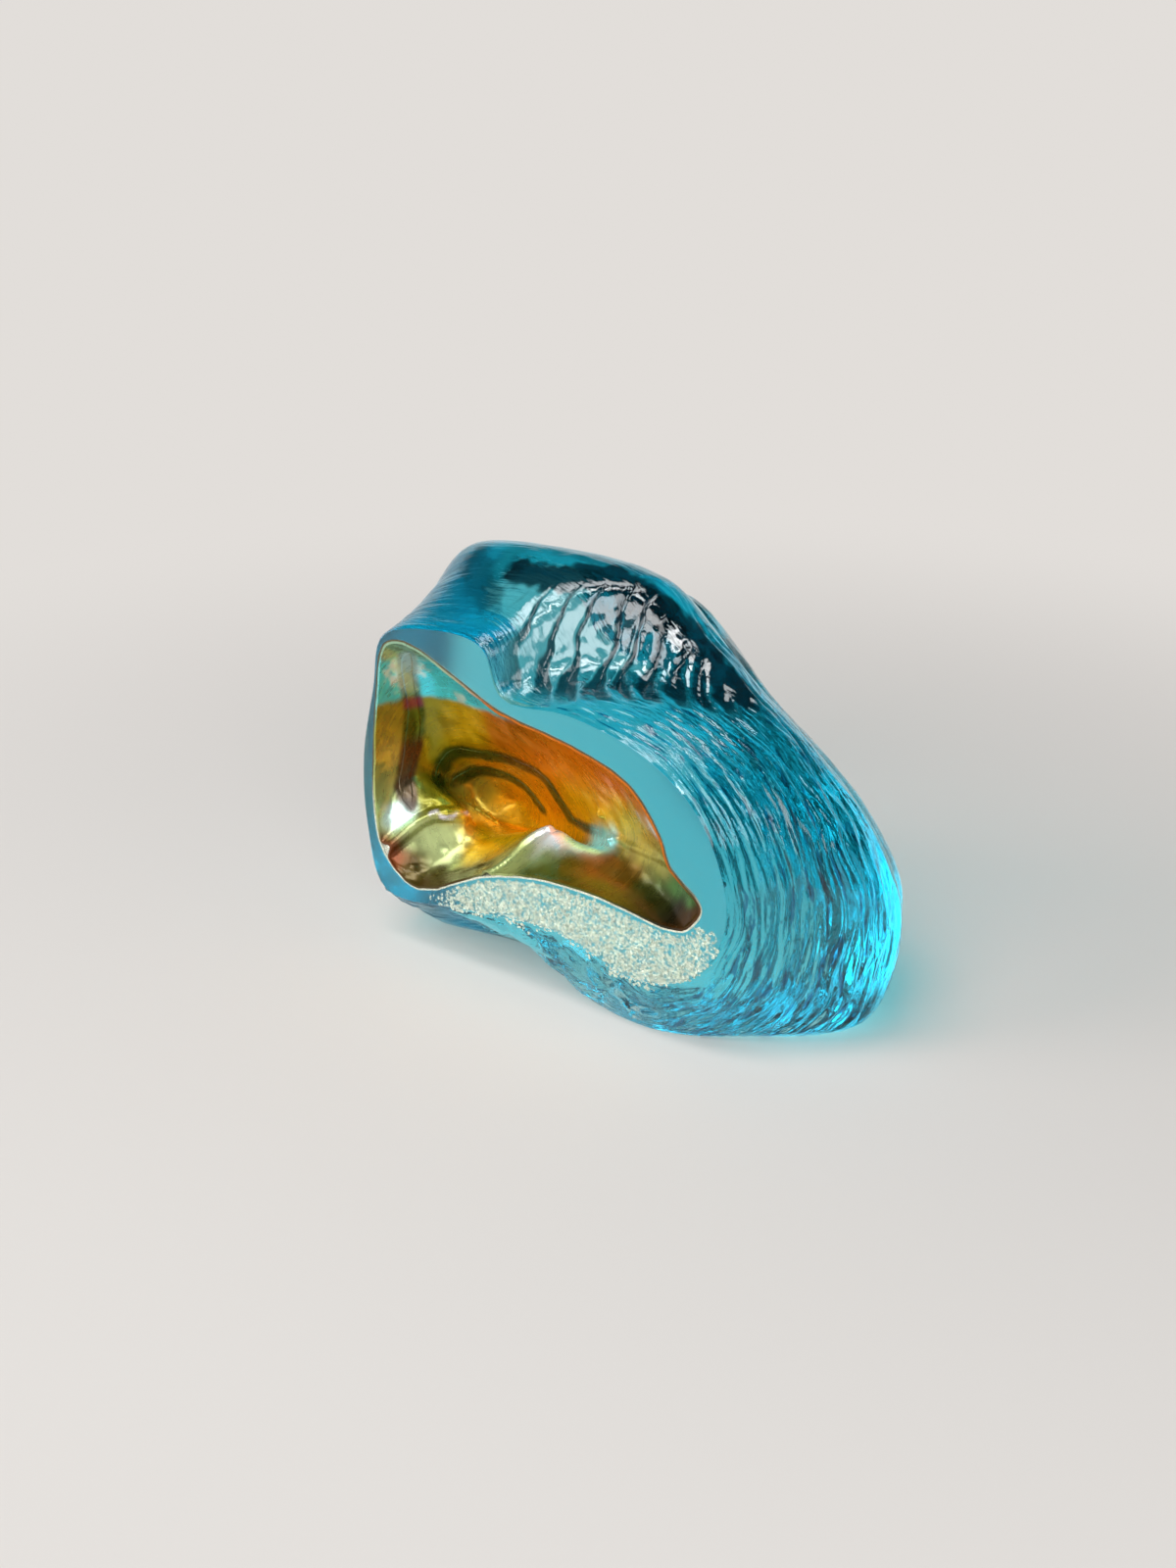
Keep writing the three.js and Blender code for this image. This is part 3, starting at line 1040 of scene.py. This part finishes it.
# Colours of the lustre at these places: the strokes run into each other.
def stroke_colours(places):
    there = np.array(
        [place + STROKE_WANDER * noise.noise_vector(place / STROKE_WANDER_SIZE) for place in places]
    )
    colours = np.zeros((len(places), 3))
    total = np.zeros((len(places), 1))
    for name, width, points in STROKES:
        far = np.full(len(places), np.inf)
        for start, end in zip(points, points[1:]):
            way = np.subtract(end, start)
            share = np.clip((there - start) @ way / (way @ way), 0, 1)
            far = np.minimum(far, np.linalg.norm(there - start - share[:, None] * way, axis=1))
        weight = np.exp(-((far / width) ** 2))[:, None] / width + STROKE_LEAST
        colours += weight * np.array(LUSTRE[name])
        total += weight
    return colours / total


# Share of bare leaf at a place, and its colour with painted glare highlights.
def bare_leaf(place):
    bright = 0.0
    for middle, radius in GLARE_PATCHES:
        far = (place - Vector(middle)).length + radius * wave(place, *PATCH_WAVE)
        bright = max(bright, ramp(far, radius, PATCH_FULL * radius))
    level = place.z + wave(place, *LEAF_WAVE)
    share = LEAF_SHARE * ramp(level, *LEAF_LEVELS) * ramp(place.x, *LEAF_RIGHT)
    colour = towards(LUSTRE["silver"], LUSTRE["sage"], LEAF_SAGE * ramp(level, *LEAF_TOP))
    return share, towards(colour, LUSTRE["glare"], bright)


# Place in the rings of the pull: slow round them, fast across them.
def pull_at(place):
    from_middle = place - PULL_MIDDLE
    along = from_middle.dot(PULL_WAY)
    across = from_middle - along * PULL_WAY
    side = PULL_WAY.cross(Vector((0, 0, 1))).normalized()
    angle = math.atan2(across.dot(side.cross(PULL_WAY)), across.dot(side))
    return Vector((PULL_RADIUS * math.cos(angle), PULL_RADIUS * math.sin(angle), along + across.length))


# Each vertex keeps its colour and its place in the pull. The trails bleed into the lustre beside them.
def paint_lustre(piece):
    attributes = piece.data.attributes
    attributes.new("lustre", "FLOAT_COLOR", "POINT")
    attributes.new("pull", "FLOAT_VECTOR", "POINT")
    lustre = attributes["lustre"].data
    pull = attributes["pull"].data
    threads = [(node, surface_of(frame["nodes"][node].data)) for node in TRAIL_NODES]
    colours = stroke_colours([vertex.co / MM for vertex in piece.data.vertices])
    for vertex in piece.data.vertices:
        place = vertex.co / MM
        share, leaf_colour = bare_leaf(place)
        colour = towards(colours[vertex.index], leaf_colour, share)
        for node, surface in threads:
            far = surface.find_nearest(vertex.co, TRAIL_SEARCH * MM)[3]
            if far is not None:
                bleed = TRAIL_BLEND * ramp(far / MM, TRAIL_BLEED, TRAIL_FULL * TRAIL_BLEED)
                colour = towards(colour, thread_at(node, place), bleed)
        lustre[vertex.index].color = (*colour, 1.0)
        pull[vertex.index].vector = pull_at(place)


# A trail sinks its foot into the lining and stands a little proud of it.
def trail(node, lining_surface):
    piece = merged_node(node, node + "_thread")
    apply_modifier(
        piece, "SUBSURF", levels=TRAIL_LEVELS, render_levels=TRAIL_LEVELS, subdivision_type="SIMPLE"
    )
    smooth_out(piece, TRAIL_ROUNDS)
    for vertex in piece.data.vertices:
        near, _, _, far = lining_surface.find_nearest(vertex.co)
        share = ramp(far / MM, *TRAIL_FOOT)
        inward = (vertex.co - near).normalized()
        vertex.co = near + inward * (TRAIL_RISE * share - TRAIL_SINK) * MM
    return piece


skin = funnel_skin()
form = casing_form()
casing = casing_hull(form)
bpy.data.objects.remove(form)
shape_casing(casing)
open_funnel(casing, skin)
keep_grain(casing)
lining = lustre_lining(skin)
leaf = silver_leaf(skin, casing)
paint_lustre(lining)
lining_surface = surface_of(lining.data)
trails = [trail(node, lining_surface) for node in TRAIL_NODES]
for piece in trails:
    paint_lustre(piece)
bpy.data.objects.remove(skin)


# Materials

def material(name):
    made = bpy.data.materials.new(name)
    made.use_nodes = True
    return made, made.node_tree, made.node_tree.nodes["Principled BSDF"]


# Links each input to another node's output, or sets it to a plain value.
def feed(tree, node, inputs):
    for name, source in inputs.items():
        if isinstance(source, bpy.types.NodeSocket):
            tree.links.new(source, node.inputs[name])
        else:
            node.inputs[name].default_value = source


def add(tree, kind, inputs=None, **settings):
    node = tree.nodes.new(kind)
    for name, value in settings.items():
        setattr(node, name, value)
    feed(tree, node, inputs or {})
    return node


def object_place(tree):
    return add(tree, "ShaderNodeTexCoord").outputs["Object"]


def axes_of(tree, place):
    return add(tree, "ShaderNodeSeparateXYZ", {0: place}).outputs


def kept(tree, name, output="Fac"):
    return add(tree, "ShaderNodeAttribute", attribute_name=name).outputs[output]


def stretched(tree, place, scale):
    return add(tree, "ShaderNodeMapping", {"Vector": place, "Scale": scale}).outputs["Vector"]


# A value between the first pair brought to the second pair.
def brought(tree, value, pair, to=(0.0, 1.0), kind="LINEAR"):
    inputs = {"Value": value, "From Min": pair[0], "From Max": pair[1], "To Min": to[0], "To Max": to[1]}
    return add(tree, "ShaderNodeMapRange", inputs, interpolation_type=kind).outputs["Result"]


def soft_step(tree, value, pair, to=(0.0, 1.0)):
    return brought(tree, value, pair, to, "SMOOTHSTEP")


def calculated(tree, operation, first, second):
    return add(tree, "ShaderNodeMath", {0: first, 1: second}, operation=operation).outputs["Value"]


def grain_texture(tree, place, shape, distortion=0.0):
    scale, detail, roughness = shape
    inputs = {"Vector": place, "Scale": scale, "Detail": detail, "Roughness": roughness}
    return add(tree, "ShaderNodeTexNoise", {**inputs, "Distortion": distortion}).outputs["Fac"]


def mixed(tree, share, first, second, kind="RGBA"):
    inputs = {"Factor": share, "A": first, "B": second}
    return add(tree, "ShaderNodeMix", inputs, data_type=kind).outputs["Result"]


def shaded(tree, colour, shade):
    inputs = {0: colour, "Scale": shade}
    return add(tree, "ShaderNodeVectorMath", inputs, operation="SCALE").outputs["Vector"]


def bumped(tree, height, strength, distance):
    inputs = {"Height": height, "Strength": strength, "Distance": distance * MM}
    return add(tree, "ShaderNodeBump", inputs).outputs["Normal"]


def mixed_shader(tree, share, first, second):
    both = add(tree, "ShaderNodeMixShader", {0: share, 1: first, 2: second})
    feed(tree, tree.nodes["Material Output"], {"Surface": both.outputs["Shader"]})


# Depths behind the cut face, in metres along the object's own axis.
def behind_face(depths):
    return [FACE_Y + depth * MM for depth in depths]


# Clear glass with painted navy shade along the marks, and painted dark reflections in the streaks
# and grooves.
def casing_colour(tree, marks, free):
    lines = soft_step(tree, marks, NAVY_VALUES)
    part = calculated(tree, "MULTIPLY", kept(tree, "strokes"), free)
    strokes = calculated(tree, "MULTIPLY", lines, part)
    marked = mixed(tree, strokes, CLEAR_GLASS, NAVY_PAINTED_SHADE)
    return mixed(tree, kept(tree, "dark"), marked, PAINTED_DARK_GLASS)


def aqua_glass():
    made, tree, shader = material("aqua_glass")
    depth = axes_of(tree, object_place(tree))["Y"]
    satin = brought(tree, depth, behind_face(SATIN_DEPTHS))
    free = brought(tree, depth, behind_face((BEVEL, 2 * BEVEL)))
    marks = grain_texture(tree, stretched(tree, kept(tree, "grain", "Vector"), GRAIN_STRETCH), GRAIN_NOISE)
    height = calculated(tree, "MULTIPLY", marks, free)
    surface = {
        "Transmission Weight": 1.0,
        "IOR": GLASS_IOR,
        "Base Color": casing_colour(tree, marks, free),
        "Roughness": brought(tree, satin, (0.0, 1.0), GLASS_ROUGHNESS),
        "Coat Weight": kept(tree, "shine"),
        "Normal": bumped(tree, height, *GRAIN_BUMP),
    }
    feed(tree, shader, surface)
    to_lamp = add(tree, "ShaderNodeLightPath").outputs["Is Shadow Ray"]
    through = add(tree, "ShaderNodeBsdfTransparent", {"Color": LAMPS_THROUGH})
    mixed_shader(tree, to_lamp, shader.outputs["BSDF"], through.outputs["BSDF"])
    inside = add(tree, "ShaderNodeVolumeAbsorption", {"Color": GLASS_DEPTH, "Density": GLASS_DENSITY})
    feed(tree, tree.nodes["Material Output"], {"Volume": inside.outputs["Volume"]})
    return made


# Fine streaks that run round the lining: how light the glass is, its roughness and its height.
def pulled_streaks():
    group = bpy.data.node_groups.new("pulled_streaks", "ShaderNodeTree")
    for name in ("Shade", "Roughness", "Height"):
        group.interface.new_socket(name, in_out="OUTPUT", socket_type="NodeSocketFloat")
    rings = stretched(group, kept(group, "pull", "Vector"), PULL_STRETCH)
    streaks = grain_texture(group, rings, PULL_NOISE, PULL_DISTORTION)
    mottle = grain_texture(group, object_place(group), MOTTLE_NOISE)
    both = mixed(group, MOTTLE_SHARE, streaks, mottle, "FLOAT")
    put_out = {
        "Shade": brought(group, both, NOISE_VALUES, LUSTRE_SHADE),
        "Roughness": brought(group, both, NOISE_VALUES, LUSTRE_ROUGHNESS),
        "Height": both,
    }
    add(group, "NodeGroupOutput", put_out)
    return group


# Crackled leaf whose edge at the lip is painted dull as shade higher up.
def leaf_metal():
    made, tree, shader = material("silver_leaf")
    place = object_place(tree)
    axes = axes_of(tree, place)
    inputs = {"Vector": place, "Scale": LEAF_CRACKS}
    cracks = add(tree, "ShaderNodeTexVoronoi", inputs, feature="DISTANCE_TO_EDGE").outputs["Distance"]
    tone = add(tree, "ShaderNodeValToRGB", {"Fac": cracks})
    tone.color_ramp.elements[0].color = CRACK_COLOUR
    tone.color_ramp.elements[1].color = LEAF_COLOUR
    tone.color_ramp.elements[1].position = CRACK_REACH
    shade = brought(tree, grain_texture(tree, place, LEAF_NOISE), NOISE_VALUES, LEAF_SHADE)
    colour = shaded(tree, tone.outputs["Color"], shade)
    edge = brought(tree, axes["Y"], behind_face(LIP_DEPTHS))
    above = brought(tree, axes["Z"], [level * MM for level in LIP_LEVELS])
    dull = calculated(tree, "MULTIPLY", edge, above)
    surface = {
        "Metallic": LEAF_METALLIC,
        "Base Color": mixed(tree, dull, colour, LIP_PAINTED_SHADE),
        "Roughness": brought(tree, cracks, (0.0, LEAF_ROUGH_REACH), LEAF_ROUGHNESS),
        "Normal": bumped(tree, cracks, *LEAF_BUMP),
    }
    feed(tree, shader, surface)
    return made


# Glass of the funnel, painted by the "lustre" of each vertex.
def painted_glass(name, streaks, bump_strength):
    made, tree, shader = material(name)
    fine = add(tree, "ShaderNodeGroup", node_tree=streaks).outputs
    surface = {
        "Metallic": LUSTRE_METALLIC,
        "Coat Weight": LUSTRE_COAT,
        "Coat Roughness": COAT_ROUGHNESS,
        "Base Color": shaded(tree, kept(tree, "lustre", "Vector"), fine["Shade"]),
        "Roughness": fine["Roughness"],
        "Normal": bumped(tree, fine["Height"], bump_strength, LUSTRE_BUMP),
    }
    feed(tree, shader, surface)
    return made


def finish_piece(piece, made, node):
    piece.data.materials.clear()
    piece.data.materials.append(made)
    only(piece)
    bpy.ops.object.shade_smooth()
    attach(piece, "root")
    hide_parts(node)


# The cut face and the rims at the lip are shaded flat.
def flat_cuts(piece):
    for face in piece.data.polygons:
        face.use_smooth = not on_cut(face) and len(face.vertices) <= 4


finish_piece(casing, aqua_glass(), "aqua_casing")
finish_piece(leaf, leaf_metal(), "silver_leaf")
streaks = pulled_streaks()
lustre = painted_glass("amber_lustre", streaks, LINING_BUMP_STRENGTH)
finish_piece(lining, lustre, "lustre_lining")
for piece in (casing, leaf, lining):
    flat_cuts(piece)
green = painted_glass("green_glass", streaks, TRAIL_BUMP_STRENGTH)
for piece, node in zip(trails, TRAIL_NODES):
    finish_piece(piece, green, node)


# Studio

# 1 for the rays that show the background itself: straight, in reflections and through glass.
def rays_that_show(tree):
    path = add(tree, "ShaderNodeLightPath").outputs
    either = calculated(tree, "MAXIMUM", path["Is Camera Ray"], path["Is Glossy Ray"])
    return calculated(tree, "MAXIMUM", either, path["Is Transmission Ray"])


# Pale floor that takes the object's shadow close by and runs out into an even pale ground. Seen through
# the glass, its shadow glows partly as painted light.
def floor():
    bpy.ops.object.select_all(action="DESELECT")
    bpy.ops.mesh.primitive_circle_add(
        vertices=FLOOR_EDGES, radius=FLOOR_RADIUS, fill_type="NGON", location=(0, 0, 0)
    )
    ground = bpy.context.object
    ground.name = "floor"
    made, tree, shader = material("floor_pale")
    surface = {"Base Color": PALE, "Roughness": FLOOR_ROUGHNESS, "Specular IOR Level": FLOOR_GLOSS}
    feed(tree, shader, surface)
    far = add(tree, "ShaderNodeVectorMath", {0: object_place(tree)}, operation="LENGTH").outputs["Value"]
    shown = calculated(tree, "MULTIPLY", soft_step(tree, far, FLOOR_FADE), rays_that_show(tree))
    through = add(tree, "ShaderNodeLightPath").outputs["Is Transmission Ray"]
    under = calculated(tree, "MULTIPLY", through, FLOOR_THROUGH)
    seen = calculated(tree, "MAXIMUM", shown, under)
    glow = add(tree, "ShaderNodeEmission", {"Color": PALE, "Strength": 1.0})
    mixed_shader(tree, seen, shader.outputs["BSDF"], glow.outputs["Emission"])
    ground.data.materials.append(made)


# A lamp of this width and height that hangs at a place.
def lamp(name, place, size, power):
    back = (Vector(place) - LAMP_AIM).normalized()
    side = (LAMPS_ALONG - LAMPS_ALONG.dot(back) * back).normalized()
    bpy.ops.object.light_add(type="AREA", location=place)
    light = bpy.context.object
    light.name = name
    light.data.shape = "RECTANGLE"
    light.data.size, light.data.size_y = size
    light.data.energy = power
    light.rotation_euler = Matrix((side, back.cross(side), back)).transposed().to_euler()


# A dark room with a pale backdrop behind the object. Straight rays see the pale ground everywhere.
def world():
    sky = bpy.data.worlds.new("studio")
    bpy.context.scene.world = sky
    sky.use_nodes = True
    tree = sky.node_tree
    way = add(tree, "ShaderNodeTexCoord").outputs["Generated"]
    low = soft_step(tree, axes_of(tree, way)["Z"], WALL_TOP)
    inputs = {0: way, 1: BACKDROP_WAY}
    behind = add(tree, "ShaderNodeVectorMath", inputs, operation="DOT_PRODUCT").outputs["Value"]
    wide = soft_step(tree, behind, BACKDROP_REACH, (SIDE_WALLS, 1.0))
    pale = calculated(tree, "MULTIPLY", low, wide)
    straight = add(tree, "ShaderNodeLightPath").outputs["Is Camera Ray"]
    seen = calculated(tree, "MAXIMUM", pale, straight)
    feed(tree, tree.nodes["Background"], {"Color": mixed(tree, seen, CEILING, PALE)})


def camera():
    bpy.ops.object.camera_add(location=CAMERA_PLACE, rotation=[math.radians(turn) for turn in CAMERA_TURN])
    eye = bpy.context.object
    eye.data.lens = CAMERA_LENS
    eye.data.sensor_width = CAMERA_SENSOR
    bpy.context.scene.camera = eye


floor()
world()
for name, place, size, power in LAMPS:
    lamp(name, place, size, power)
camera()
bpy.context.scene.view_settings.view_transform = "Standard"
